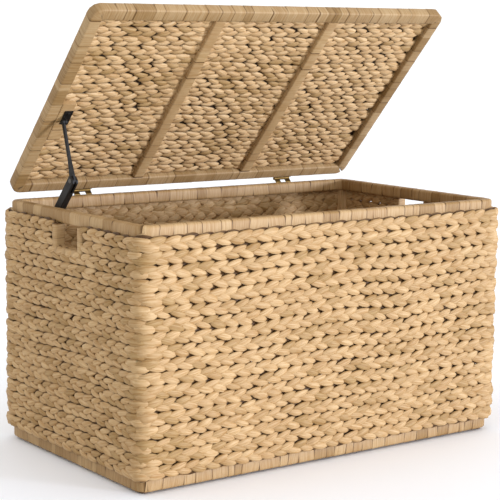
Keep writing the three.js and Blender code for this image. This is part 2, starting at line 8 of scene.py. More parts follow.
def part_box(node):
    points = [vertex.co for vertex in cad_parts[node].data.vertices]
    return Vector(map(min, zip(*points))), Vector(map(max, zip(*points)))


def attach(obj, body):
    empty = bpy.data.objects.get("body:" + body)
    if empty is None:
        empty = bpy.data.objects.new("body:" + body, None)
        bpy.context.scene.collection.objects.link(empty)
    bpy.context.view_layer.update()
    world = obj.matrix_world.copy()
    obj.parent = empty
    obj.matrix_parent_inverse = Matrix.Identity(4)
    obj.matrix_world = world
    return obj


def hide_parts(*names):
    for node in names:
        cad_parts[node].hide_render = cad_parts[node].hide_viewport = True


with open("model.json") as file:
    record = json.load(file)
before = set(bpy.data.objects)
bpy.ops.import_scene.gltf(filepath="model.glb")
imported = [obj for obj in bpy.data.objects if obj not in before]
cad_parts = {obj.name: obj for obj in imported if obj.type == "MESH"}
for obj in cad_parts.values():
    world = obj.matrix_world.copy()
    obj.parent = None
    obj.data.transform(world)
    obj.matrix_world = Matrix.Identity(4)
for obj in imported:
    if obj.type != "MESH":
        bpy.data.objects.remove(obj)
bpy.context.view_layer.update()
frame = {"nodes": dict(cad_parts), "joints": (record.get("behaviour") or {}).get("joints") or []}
millimetre = 0.001
fullTurn = 2 * math.pi
white = (1.0, 1.0, 1.0, 1.0)
upZ, upY, upX = (0.0, 0.0, 1.0), (0.0, 1.0, 0.0), (1.0, 0.0, 0.0)
sideNames = ("front", "back", "left", "right")


# a hex colour as sRGB, turned to the linear values that the sockets take
def linear(hexColour):
    channels = [int(hexColour[place : place + 2], 16) / 255 for place in (1, 3, 5)]
    return [c / 12.92 if c <= 0.04045 else ((c + 0.055) / 1.055) ** 2.4 for c in channels] + [1.0]


# one node: settings are its properties, inputs are values, sockets or whole nodes
def add(tree, kind, inputs=(), **settings):
    node = tree.nodes.new(kind)
    for label, value in settings.items():
        setattr(node, label, value)
    pairs = inputs.items() if isinstance(inputs, dict) else enumerate(inputs)
    for key, value in pairs:
        if isinstance(value, bpy.types.Node):
            value = next(output for output in value.outputs if output.enabled)
        if isinstance(value, bpy.types.NodeSocket):
            tree.links.new(value, node.inputs[key])
        else:
            node.inputs[key].default_value = value
    return node


# an empty Geometry Nodes tree with its named inputs
def startTree(label, sizes):
    tree = bpy.data.node_groups.new(label, "GeometryNodeTree")
    tree.interface.new_socket("Geometry", in_out="INPUT", socket_type="NodeSocketGeometry")
    tree.interface.new_socket("Geometry", in_out="OUTPUT", socket_type="NodeSocketGeometry")
    for size, kind in sizes.items():
        tree.interface.new_socket(size, in_out="INPUT", socket_type="NodeSocket" + kind)
    return tree, tree.nodes.new("NodeGroupInput")


# runs a tree over a path and keeps only the plain mesh that it makes
def grow(label, path, tree, sizes):
    piece = bpy.data.objects.new(label, path)
    bpy.context.scene.collection.objects.link(piece)
    modifier = piece.modifiers.new("grow", "NODES")
    modifier.node_group = tree
    sockets = {s.name: s.identifier for s in tree.interface.items_tree if s.in_out == "INPUT"}
    for size, value in sizes.items():
        modifier[sockets[size]] = value
    graph = bpy.context.evaluated_depsgraph_get()
    mesh = bpy.data.meshes.new_from_object(piece.evaluated_get(graph))
    piece.modifiers.remove(modifier)
    piece.data = mesh
    mesh.name = label
    return piece


# ties a finished piece to its body and hides the CAD nodes it stands for
def settle(piece, body, slotName, *nodes):
    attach(piece, body)
    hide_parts(*nodes)
    print("made", piece.name, len(piece.data.polygons), "faces")


# a new node material, its tree and its surface node
def startMaterial(label):
    material = bpy.data.materials.new(label)
    material.use_nodes = True
    tree = material.node_tree
    return material, tree, tree.nodes["Principled BSDF"]


# What all stalks share: between which noise values a patch, a fibre or a stain fades in, how far
# a patch shifts the tint, and how deep and how glossy the skin is.
stalkSkin = {"patchFrom": 0.3, "patchTo": 0.7, "patchShift": 0.16, "fibreFrom": 0.35,
             "fibreTo": 0.62, "stainFrom": 0.62, "stainTo": 0.78, "deep": 0.5 * millimetre,
             "gloss": 0.3}


# Water hyacinth stalks, dried and plaited while damp. Each stalk dries to its own straw
# colour, with faint lengthwise fibres and a dull satin on top. Painted shade: a brown is mixed into
# the seams.
def waterHyacinth(label, look):
    material, tree, surface = startMaterial(label)
    tint = add(tree, "ShaderNodeAttribute", attribute_name="tint").outputs["Fac"]
    along = add(tree, "ShaderNodeAttribute", attribute_name="along").outputs["Fac"]
    across = add(tree, "ShaderNodeAttribute", attribute_name="across").outputs["Fac"]
    proud = add(tree, "ShaderNodeAttribute", attribute_name="proud").outputs["Fac"]
    place = add(tree, "ShaderNodeTexCoord").outputs["Object"]
    # fibres are about 0.3 mm wide and are drawn several times coarser, so that they show
    slow = add(tree, "ShaderNodeMath", [along, look["fibreStretch"]], operation="MULTIPLY")
    apart = add(tree, "ShaderNodeMath", [tint, 3.0], operation="MULTIPLY")
    lie = add(tree, "ShaderNodeCombineXYZ", [across, slow, apart])
    fibre = add(tree, "ShaderNodeTexNoise",
                {"Vector": lie, "Scale": 1 / look["fibre"], "Detail": 3.0, "Roughness": 0.6})
    patch = add(tree, "ShaderNodeTexNoise",
                {"Vector": place, "Scale": 1 / look["patch"], "Detail": 2.0})
    stain = add(tree, "ShaderNodeTexNoise",
                {"Vector": place, "Scale": 1 / look["stain"], "Detail": 4.0, "Roughness": 0.65})
    shift = add(tree, "ShaderNodeMapRange",
                {"Value": patch, "From Min": stalkSkin["patchFrom"],
                 "From Max": stalkSkin["patchTo"], "To Min": -stalkSkin["patchShift"],
                 "To Max": stalkSkin["patchShift"]})
    tone = add(tree, "ShaderNodeMath", [tint, shift], operation="ADD", use_clamp=True)
    stalk = add(tree, "ShaderNodeValToRGB", [tone])
    ramp = stalk.color_ramp
    ramp.elements[0].color = linear(look["dark"])
    ramp.elements[1].color = linear(look["pale"])
    middle = ramp.elements.new(look["middleAt"])
    middle.color = linear(look["middle"])
    streak = add(tree, "ShaderNodeMapRange",
                 {"Value": fibre, "From Min": stalkSkin["fibreFrom"],
                  "From Max": stalkSkin["fibreTo"]})
    lined = add(tree, "ShaderNodeMix", {0: streak, 6: linear(look["fibreShade"]), 7: white},
                data_type="RGBA")
    fibred = add(tree, "ShaderNodeMix", {0: 1.0, 6: stalk, 7: lined.outputs[2]},
                 data_type="RGBA", blend_type="MULTIPLY")
    spots = add(tree, "ShaderNodeMapRange",
                {"Value": stain, "From Min": stalkSkin["stainFrom"],
                 "From Max": stalkSkin["stainTo"], "To Max": look["stainDepth"]})
    stained = add(tree, "ShaderNodeMix",
                  {0: spots, 6: fibred.outputs[2], 7: linear(look["stainColour"])},
                  data_type="RGBA")
    # painted shade: the seam colour darkens the low parts of the surface, where it lies less proud
    depth = add(tree, "ShaderNodeMapRange",
                {"Value": proud, "From Min": look["seamDeep"], "From Max": look["seamClear"],
                 "To Min": 1.0, "To Max": 0.0}, interpolation_type="SMOOTHSTEP")
    seamShadePainted = add(tree, "ShaderNodeMix", {0: depth, 6: stained.outputs[2], 7: linear(look["seam"])},
                 data_type="RGBA")
    relief = add(tree, "ShaderNodeBump",
                 {"Strength": look["bump"], "Distance": stalkSkin["deep"], "Height": fibre})
    tree.links.new(seamShadePainted.outputs[2], surface.inputs["Base Color"])
    tree.links.new(relief.outputs[0], surface.inputs["Normal"])
    surface.inputs["Roughness"].default_value = look["roughness"]
    surface.inputs["Specular IOR Level"].default_value = stalkSkin["gloss"]
    return material


# fibre, patch and stain are widths in metres; seam is a painted shade colour, mixed in fully where
# a point stands less proud than seamDeep and fading out above seamClear
braidLook = {"pale": "#C1A378", "middle": "#B6976D", "dark": "#A38558", "middleAt": 0.35,
             "fibre": 0.0021, "fibreStretch": 0.07, "fibreShade": "#DCCBAE", "patch": 0.14,
             "stain": 0.03, "stainDepth": 0.3, "stainColour": "#7D5E38", "seam": "#4A2F10",
             "seamDeep": 0.05, "seamClear": 0.52, "bump": 0.35, "roughness": 0.62}
stripLook = {"pale": "#B4976D", "middle": "#A98A61", "dark": "#927347", "middleAt": 0.4,
             "fibre": 0.0024, "fibreStretch": 0.05, "fibreShade": "#E3D6BE", "patch": 0.12,
             "stain": 0.024, "stainDepth": 0.4, "stainColour": "#7D5E38", "seam": "#5B3F1B",
             "seamDeep": -0.02, "seamClear": 0.2, "bump": 0.3, "roughness": 0.58}
# under the lid, painted light and shade: paler leaves than on the chest, and a darker seam shade
# that reaches further up the leaves
lidLookPaintedLight = dict(braidLook, pale="#C9AB80", middle="#BD9E74", seam="#2C1904", seamClear=0.6)
# the strips round the lid are darker than those of the chest: painted shade
lidStripLookPaintedShade = dict(stripLook, pale="#A88D66", middle="#9D815A", dark="#886B41")
braidFinish = waterHyacinth("plaited water hyacinth", braidLook)
lidFinish = waterHyacinth("plaited water hyacinth of the lid", lidLookPaintedLight)
stripFinish = waterHyacinth("flattened water hyacinth strip", stripLook)
lidStripFinish = waterHyacinth("flattened water hyacinth strip of the lid", lidStripLookPaintedShade)


# Rubberwood sticks and a plywood floor, sawn and left bare: long pale grain, no gloss.
sawnSkin = {"pores": 6.0, "ringShare": 0.75, "darkAt": 0.65, "paleAt": 1.05, "bump": 0.25,
            "deep": 0.3 * millimetre, "roughness": 0.7}


# The grain is given as bands in a metre along X, Y and Z.
def sawnWood(label, paleHex, darkHex, grain):
    material, tree, surface = startMaterial(label)
    place = add(tree, "ShaderNodeTexCoord").outputs["Object"]
    stretch = add(tree, "ShaderNodeVectorMath", [place, grain], operation="MULTIPLY")
    rings = add(tree, "ShaderNodeTexNoise",
                {"Vector": stretch, "Scale": 1.0, "Detail": 5.0, "Roughness": 0.6})
    pores = add(tree, "ShaderNodeTexNoise",
                {"Vector": stretch, "Scale": sawnSkin["pores"], "Detail": 2.0})
    mixed = add(tree, "ShaderNodeMath", [rings, sawnSkin["ringShare"], pores],
                operation="MULTIPLY_ADD")
    tone = add(tree, "ShaderNodeMapRange",
               {"Value": mixed, "From Min": sawnSkin["darkAt"], "From Max": sawnSkin["paleAt"]})
    colour = add(tree, "ShaderNodeMix", {0: tone, 6: linear(darkHex), 7: linear(paleHex)},
                 data_type="RGBA")
    relief = add(tree, "ShaderNodeBump",
                 {"Strength": sawnSkin["bump"], "Distance": sawnSkin["deep"], "Height": mixed})
    tree.links.new(colour.outputs[2], surface.inputs["Base Color"])
    tree.links.new(relief.outputs[0], surface.inputs["Normal"])
    surface.inputs["Roughness"].default_value = sawnSkin["roughness"]
    return material


# One recipe for the small hard parts: an even base colour, a slow mottle and a fine grit,
# both given as widths in metres.
def hardPart(label, look):
    material, tree, surface = startMaterial(label)
    place = add(tree, "ShaderNodeTexCoord").outputs["Object"]
    grit = add(tree, "ShaderNodeTexNoise",
               {"Vector": place, "Scale": 1 / look["grit"], "Detail": 3.0})
    mottle = add(tree, "ShaderNodeTexNoise",
                 {"Vector": place, "Scale": 1 / look["mottle"], "Detail": 3.0})
    colour = add(tree, "ShaderNodeMix",
                 {0: mottle, 6: linear(look["dark"]), 7: linear(look["pale"])}, data_type="RGBA")
    shine = add(tree, "ShaderNodeMapRange",
                {"Value": mottle, "From Min": 0.3, "From Max": 0.7,
                 "To Min": look["smooth"], "To Max": look["rough"]})
    relief = add(tree, "ShaderNodeBump",
                 {"Strength": look["bump"], "Distance": 0.15 * millimetre, "Height": grit})
    tree.links.new(colour.outputs[2], surface.inputs["Base Color"])
    tree.links.new(shine.outputs[0], surface.inputs["Roughness"])
    tree.links.new(relief.outputs[0], surface.inputs["Normal"])
    surface.inputs["Metallic"].default_value = look["metal"]
    surface.inputs["Specular IOR Level"].default_value = look["gloss"]
    return material


postWood = sawnWood("bare rubberwood stick", "#D8B98C", "#B08A58", (90.0, 90.0, 5.0))
floorWood = sawnWood("birch plywood", "#E2C9A0", "#C09A69", (4.0, 60.0, 60.0))
# zinc plated steel, yellow passivated, darkened to a brownish colour as painted shade for the gap
# it sits in: a slightly cloudy metal
zincSteel = hardPart("yellow passivated zinc steel",
                     {"pale": "#7C6338", "dark": "#564223", "grit": 0.0015, "mottle": 0.012,
                      "smooth": 0.45, "rough": 0.6, "bump": 0.15, "metal": 1.0, "gloss": 0.5})
# powder coated steel: near black with a fine orange-peel
blackSteel = hardPart("black powder coated steel",
                      {"pale": "#1A1714", "dark": "#100E0C", "grit": 0.0012, "mottle": 0.01,
                       "smooth": 0.45, "rough": 0.6, "bump": 0.4, "metal": 0.0, "gloss": 0.22})
# glass filled nylon: moulded, dark grey, soft sheen with a spark-eroded grain
blackNylon = hardPart("black moulded nylon",
                      {"pale": "#211D19", "dark": "#15120F", "grit": 0.0014, "mottle": 0.02,
                       "smooth": 0.5, "rough": 0.62, "bump": 0.3, "metal": 0.0, "gloss": 0.25})
# cold headed steel, left bright: the smoothest surface on the chest
rivetSteel = hardPart("bright steel rivet",
                      {"pale": "#6E6A64", "dark": "#4C4945", "grit": 0.001, "mottle": 0.006,
                       "smooth": 0.38, "rough": 0.5, "bump": 0.1, "metal": 1.0, "gloss": 0.5})
# injection moulded polypropylene: plain brown with a low sheen
glidePlastic = hardPart("brown polypropylene glide",
                        {"pale": "#5A4230", "dark": "#443022", "grit": 0.0015, "mottle": 0.02,
                         "smooth": 0.4, "rough": 0.55, "bump": 0.3, "metal": 0.0, "gloss": 0.4})
print("materials ready")


# A leaf, in shares: rises, slopes and sags of a row's pitch, arches of the relief, the rest of
# the leaf itself. Words ending in Tight say what changes at a tight spot of the path.
leafShape = {"jitter": 0.1, "shortest": 0.88, "longest": 1.16, "thinnest": 0.86, "fattest": 1.14,
             "lean": 0.05, "slope": 0.26, "slopeTight": -0.22, "rise": 0.19, "riseTips": -0.04,
             "sag": 0.38, "sagsInMetre": 4.5, "sagDrift": 0.009, "crown": 1.1, "valley": -2.4,
             "dive": -1.2, "topAt": 0.2, "pointed": 1.7, "tip": 0.05, "longTight": 0.3,
             "broadTight": 0.4, "backing": 0.23, "sides": 7}


# Flat plaits laid in rows along a path. What shows of a plait is its leaves: in each half of the
# row a leaf comes out at the middle, swells, and dives under at the edge. A second layer of
# leaves faces the other way. The path carries a stretch, where leaves run long and lie straight.
def plaitedRows(shape):
    tree, given = startTree("plaited rows", {
        "Rows": "Int", "First Row": "Float", "Row Pitch": "Float", "Start": "Float", "End": "Float",
        "First Leaf": "Int", "Leaves": "Int", "Leaf Points": "Int", "Stitch": "Float",
        "Leaf Length": "Float", "Leaf Width": "Float", "Leaf Thick": "Float", "Relief": "Float",
        "Stack": "Vector", "Gap At": "Float", "Gap Half Width": "Float", "Gap From": "Float",
        "Seed": "Int", "Material": "Material"})
    size = given.outputs
    rail = add(tree, "GeometryNodeMeshToCurve", [size["Geometry"]])
    perRow = add(tree, "ShaderNodeMath", [size["Leaves"], size["Rows"]], operation="MULTIPLY")
    leafCount = add(tree, "ShaderNodeMath", [perRow, 4.0], operation="MULTIPLY")    # to a stitch
    count = add(tree, "ShaderNodeMath", [leafCount, size["Leaf Points"]], operation="MULTIPLY")
    points = add(tree, "GeometryNodePoints", [count])

    # the number of a point tells its place in the leaf, the layer, the half, the leaf and the row
    index = add(tree, "GeometryNodeInputIndex")
    step = add(tree, "ShaderNodeMath", [index, size["Leaf Points"]], operation="MODULO")
    leafShare = add(tree, "ShaderNodeMath", [index, size["Leaf Points"]], operation="DIVIDE")
    leaf = add(tree, "ShaderNodeMath", [leafShare], operation="FLOOR")
    layer = add(tree, "ShaderNodeMath", [leaf, 2.0], operation="MODULO")
    halfShare = add(tree, "ShaderNodeMath", [leaf, 0.5], operation="MULTIPLY")
    halfNumber = add(tree, "ShaderNodeMath", [halfShare], operation="FLOOR")
    half = add(tree, "ShaderNodeMath", [halfNumber, 2.0], operation="MODULO")
    pairShare = add(tree, "ShaderNodeMath", [halfNumber, 0.5], operation="MULTIPLY")
    pair = add(tree, "ShaderNodeMath", [pairShare], operation="FLOOR")
    stitchInRow = add(tree, "ShaderNodeMath", [pair, size["Leaves"]], operation="MODULO")
    rowShare = add(tree, "ShaderNodeMath", [pair, size["Leaves"]], operation="DIVIDE")
    row = add(tree, "ShaderNodeMath", [rowShare], operation="FLOOR")
    stitch = add(tree, "ShaderNodeMath", [stitchInRow, size["First Leaf"]], operation="ADD")
    side = add(tree, "ShaderNodeMath", [half, 2.0, -1.0], operation="MULTIPLY_ADD")
    face = add(tree, "ShaderNodeMath", [layer, -2.0, 1.0], operation="MULTIPLY_ADD")
    rowCode = add(tree, "ShaderNodeMath", [row, 2.0, half], operation="MULTIPLY_ADD")
    layerCode = add(tree, "ShaderNodeMath", [rowCode, 2.0, layer], operation="MULTIPLY_ADD")
    # every leaf gets a number of its own; no row has as many as 1024 stitches
    leafCode = add(tree, "ShaderNodeMath", [layerCode, 1024.0, stitch], operation="MULTIPLY_ADD")

    # rows start anywhere in a stitch, and no two leaves are alike
    rowStart = add(tree, "FunctionNodeRandomValue",
                   {"ID": row, "Seed": size["Seed"], 2: 0.0, 3: 1.0}, data_type="FLOAT")
    jitter, longness, wideness, leaning, tint = (
        add(tree, "FunctionNodeRandomValue", {"ID": leafCode, "Seed": seed, 2: least, 3: most},
            data_type="FLOAT")
        for seed, least, most in (
            (11, -shape["jitter"], shape["jitter"]), (12, shape["shortest"], shape["longest"]),
            (13, shape["thinnest"], shape["fattest"]), (14, -shape["lean"], shape["lean"]),
            (15, 0.0, 1.0)))
    staggered = add(tree, "ShaderNodeMath", [half, 0.5, rowStart], operation="MULTIPLY_ADD")
    layered = add(tree, "ShaderNodeMath", [layer, 0.25, staggered], operation="MULTIPLY_ADD")
    shifted = add(tree, "ShaderNodeMath", [layered, jitter], operation="ADD")
    stitchPlace = add(tree, "ShaderNodeMath", [stitch, shifted], operation="ADD")
    middle = add(tree, "ShaderNodeMath", [stitchPlace, size["Stitch"]], operation="MULTIPLY")
    stretchHere = add(tree, "GeometryNodeInputNamedAttribute", ["stretch"])
    middleSpot = add(tree, "GeometryNodeSampleCurve",
                     {"Curves": rail, "Value": stretchHere, "Length": middle}, mode="LENGTH")
    stretch = middleSpot.outputs["Value"]

    # points crowd towards the tips: reach runs from -1 to 1 along the leaf
    lastStep = add(tree, "ShaderNodeMath", [size["Leaf Points"], 1.0], operation="SUBTRACT")
    swept = add(tree, "ShaderNodeMapRange", {"Value": step, "From Max": lastStep,
                                             "To Min": -fullTurn / 4, "To Max": fullTurn / 4})
    reach = add(tree, "ShaderNodeMath", [swept], operation="SINE")
    girth = add(tree, "ShaderNodeMath", [swept], operation="COSINE")
    longer = add(tree, "ShaderNodeMath", [stretch, shape["longTight"], 1.0],
                 operation="MULTIPLY_ADD")
    leafLong = add(tree, "ShaderNodeMath", [size["Leaf Length"], longness], operation="MULTIPLY")
    leafRun = add(tree, "ShaderNodeMath", [leafLong, longer], operation="MULTIPLY")
    halfRun = add(tree, "ShaderNodeMath", [leafRun, 0.5], operation="MULTIPLY")
    fromLeafMiddle = add(tree, "ShaderNodeMath", [halfRun, reach], operation="MULTIPLY")
    freeLength = add(tree, "ShaderNodeMath", [middle, fromLeafMiddle], operation="ADD")

    # at a hand hole the leaves end at its lining
    rowHeight = add(tree, "ShaderNodeMath", [row, size["Row Pitch"], size["First Row"]],
                    operation="MULTIPLY_ADD")
    cutRow = add(tree, "ShaderNodeMath", [rowHeight, size["Gap From"]], operation="GREATER_THAN")
    middleOff = add(tree, "ShaderNodeMath", [middle, size["Gap At"]], operation="SUBTRACT")
    middleSide = add(tree, "ShaderNodeMath", [middleOff], operation="SIGN")
    off = add(tree, "ShaderNodeMath", [freeLength, size["Gap At"]], operation="SUBTRACT")
    offOut = add(tree, "ShaderNodeMath", [off, middleSide], operation="MULTIPLY")
    heldOut = add(tree, "ShaderNodeMath", [offOut, size["Gap Half Width"]], operation="MAXIMUM")
    held = add(tree, "ShaderNodeMath", [heldOut, middleSide, size["Gap At"]],
               operation="MULTIPLY_ADD")
    length = add(tree, "ShaderNodeMix", {0: cutRow, 2: freeLength, 3: held}, data_type="FLOAT")
    apart = add(tree, "ShaderNodeMath", [middleOff], operation="ABSOLUTE")
    inGap = add(tree, "ShaderNodeMath", [apart, size["Gap Half Width"]], operation="LESS_THAN")
    lost = add(tree, "ShaderNodeMath", [inGap, cutRow], operation="MULTIPLY")
    before = add(tree, "ShaderNodeMath", [middle, size["Start"]], operation="LESS_THAN")
    after = add(tree, "ShaderNodeMath", [middle, size["End"]], operation="GREATER_THAN")
    outside = add(tree, "ShaderNodeMath", [before, after], operation="ADD")
    dropped = add(tree, "ShaderNodeMath", [outside, lost], operation="ADD")

    spot = add(tree, "GeometryNodeSampleCurve", {"Curves": rail, "Length": length}, mode="LENGTH")
    outward = add(tree, "ShaderNodeVectorMath", [spot.outputs["Tangent"], size["Stack"]],
                  operation="CROSS_PRODUCT")
    # a leaf crosses its half of the row on a slope, a little bent
    straighter = add(tree, "ShaderNodeMath", [stretch, shape["slopeTight"], shape["slope"]],
                     operation="MULTIPLY_ADD")
    slope = add(tree, "ShaderNodeMath", [straighter, leaning], operation="ADD")
    towardsTip = add(tree, "ShaderNodeMath", [reach, 2.0], operation="POWER")
    bend = add(tree, "ShaderNodeMath", [towardsTip, shape["riseTips"], shape["rise"]],
               operation="MULTIPLY_ADD")
    riseShare = add(tree, "ShaderNodeMath", [slope, reach, bend], operation="MULTIPLY_ADD")
    riseOut = add(tree, "ShaderNodeMath", [riseShare, side], operation="MULTIPLY")
    # neighbouring rows sag together, and the first and last rows lie straight at the rims
    drift = add(tree, "ShaderNodeMath", [row, shape["sagDrift"]], operation="MULTIPLY")
    waver = add(tree, "ShaderNodeTexNoise",
                {"Vector": spot.outputs["Position"], "W": drift, "Scale": shape["sagsInMetre"],
                 "Detail": 1.5}, noise_dimensions="4D")
    wavered = add(tree, "ShaderNodeMapRange",
                  {"Value": waver, "From Min": 0.25, "From Max": 0.75,
                   "To Min": -shape["sag"], "To Max": shape["sag"]})
    rowMiddle = add(tree, "ShaderNodeMath", [row, 0.5], operation="ADD")
    rowsPassed = add(tree, "ShaderNodeMath", [rowMiddle, size["Rows"]], operation="DIVIDE")
    fromEdges = add(tree, "ShaderNodeMath", [rowsPassed, fullTurn / 2], operation="MULTIPLY")
    looseness = add(tree, "ShaderNodeMath", [fromEdges], operation="SINE")
    sagged = add(tree, "ShaderNodeMath", [wavered, looseness], operation="MULTIPLY")
    shareUp = add(tree, "ShaderNodeMath", [riseOut, sagged], operation="ADD")
    level = add(tree, "ShaderNodeMath", [shareUp, size["Row Pitch"], rowHeight],
                operation="MULTIPLY_ADD")
    # it arches out along its length, and less towards the valley between two rows
    fromTop = add(tree, "ShaderNodeMath", [reach, shape["topAt"]], operation="SUBTRACT")
    dive = add(tree, "ShaderNodeMath", [fromTop, 2.0], operation="POWER")
    valley = add(tree, "ShaderNodeMath", [riseShare, 2.0], operation="POWER")
    crown = add(tree, "ShaderNodeMath", [valley, shape["valley"], shape["crown"]],
                operation="MULTIPLY_ADD")
    arch = add(tree, "ShaderNodeMath", [dive, shape["dive"], crown], operation="MULTIPLY_ADD")
    archOut = add(tree, "ShaderNodeMath", [arch, face], operation="MULTIPLY")
    lift = add(tree, "ShaderNodeMath", [archOut, size["Relief"]], operation="MULTIPLY")
    # it is a spindle, broader at a tight spot and in the backing layer, so that no gap shows
    spindle = add(tree, "ShaderNodeMath", [girth, shape["pointed"]], operation="POWER")
    tipped = add(tree, "ShaderNodeMath", [spindle, 1.0 - shape["tip"], shape["tip"]],
                 operation="MULTIPLY_ADD")
    broader = add(tree, "ShaderNodeMath", [stretch, shape["broadTight"], 1.0],
                  operation="MULTIPLY_ADD")
    backing = add(tree, "ShaderNodeMath", [face, -shape["backing"], shape["backing"]],
                  operation="MULTIPLY_ADD")
    broadBack = add(tree, "ShaderNodeMath", [broader, backing], operation="ADD")
    broad = add(tree, "ShaderNodeMath", [broadBack, wideness], operation="MULTIPLY")
    fat = add(tree, "ShaderNodeMath", [tipped, broad], operation="MULTIPLY")
    out = add(tree, "ShaderNodeVectorMath", {0: outward, "Scale": lift}, operation="SCALE")
    up = add(tree, "ShaderNodeVectorMath", {0: size["Stack"], "Scale": level}, operation="SCALE")
    aside = add(tree, "ShaderNodeVectorMath", [spot.outputs["Position"], out], operation="ADD")
    place = add(tree, "ShaderNodeVectorMath", [aside, up], operation="ADD")

    shown = points
    for label, value, kind in (("along", fromLeafMiddle, "FLOAT"), ("tint", tint, "FLOAT"),
                               ("fat", fat, "FLOAT"), ("lift", lift, "FLOAT"),
                               ("face", face, "FLOAT"), ("leaf", leaf, "FLOAT"),
                               ("step", step, "FLOAT"), ("dropped", dropped, "FLOAT"),
                               ("outward", outward, "FLOAT_VECTOR")):
        shown = add(tree, "GeometryNodeStoreNamedAttribute",
                    {"Geometry": shown, "Name": label, "Value": value}, data_type=kind)
    laid = add(tree, "GeometryNodeSetPosition", {"Geometry": shown, "Position": place})
    stored = {label: add(tree, "GeometryNodeInputNamedAttribute", [label]).outputs[0]
              for label in ("fat", "lift", "face", "leaf", "step", "dropped", "thickway")}
    kept = add(tree, "GeometryNodeDeleteGeometry",
               {"Geometry": laid, "Selection": stored["dropped"]})
    curves = add(tree, "GeometryNodePointsToCurves",
                 {"Points": kept, "Curve Group ID": stored["leaf"], "Weight": stored["step"]})
    away = add(tree, "GeometryNodeInputNamedAttribute", ["outward"], data_type="FLOAT_VECTOR")
    facing = add(tree, "GeometryNodeSetCurveNormal", {"Curve": curves, "Normal": away}, mode="FREE")

    # the section of a leaf is a flat oval
    ring = add(tree, "GeometryNodeCurvePrimitiveCircle",
               {"Resolution": shape["sides"], "Radius": 1.0})
    here = add(tree, "GeometryNodeInputPosition")
    axes = add(tree, "ShaderNodeSeparateXYZ", [here])
    halfWidth = add(tree, "ShaderNodeMath", [size["Leaf Width"], 0.5], operation="MULTIPLY")
    halfThick = add(tree, "ShaderNodeMath", [size["Leaf Thick"], 0.5], operation="MULTIPLY")
    ringOut = add(tree, "GeometryNodeStoreNamedAttribute",
                  {"Geometry": ring, "Name": "thickway", "Value": axes.outputs[0]},
                  data_type="FLOAT")
    across = add(tree, "ShaderNodeMath", [axes.outputs[1], halfWidth], operation="MULTIPLY")
    ringWide = add(tree, "GeometryNodeStoreNamedAttribute",
                   {"Geometry": ringOut, "Name": "across", "Value": across}, data_type="FLOAT")
    flatness = add(tree, "ShaderNodeCombineXYZ", [halfThick, halfWidth, 1.0])
    oval = add(tree, "GeometryNodeTransform", {"Geometry": ringWide, "Scale": flatness})
    leaves = add(tree, "GeometryNodeCurveToMesh",
                 {"Curve": facing, "Profile Curve": oval, "Scale": stored["fat"],
                  "Fill Caps": True})

    # how far a point stands out of the weave, for the painted shade in the seams
    skin = add(tree, "ShaderNodeMath", [stored["thickway"], halfThick], operation="MULTIPLY")
    heightOut = add(tree, "ShaderNodeMath", [skin, stored["fat"], stored["lift"]],
                    operation="MULTIPLY_ADD")
    facedOut = add(tree, "ShaderNodeMath", [heightOut, stored["face"]], operation="MULTIPLY")
    most = add(tree, "ShaderNodeMath", [size["Relief"], halfThick], operation="ADD")
    proud = add(tree, "ShaderNodeMath", [facedOut, most], operation="DIVIDE")
    marked = add(tree, "GeometryNodeStoreNamedAttribute",
                 {"Geometry": leaves, "Name": "proud", "Value": proud}, data_type="FLOAT")
    smooth = add(tree, "GeometryNodeSetShadeSmooth", [marked])
    whole = add(tree, "GeometryNodeRealizeInstances", [smooth])
    dressed = add(tree, "GeometryNodeSetMaterial",
                  {"Geometry": whole, "Material": size["Material"]})
    add(tree, "NodeGroupOutput", [dressed])
    return tree


# How far a strip's first edge stands up, from thin to thick, as a share of Step Up. The shade in
# the seam is as wide as seam and this share of seamThick together, in metres.
stripShape = {"thin": 0.4, "thick": 1.0, "seam": 0.002, "seamThick": 0.016, "cornerPoints": 3}


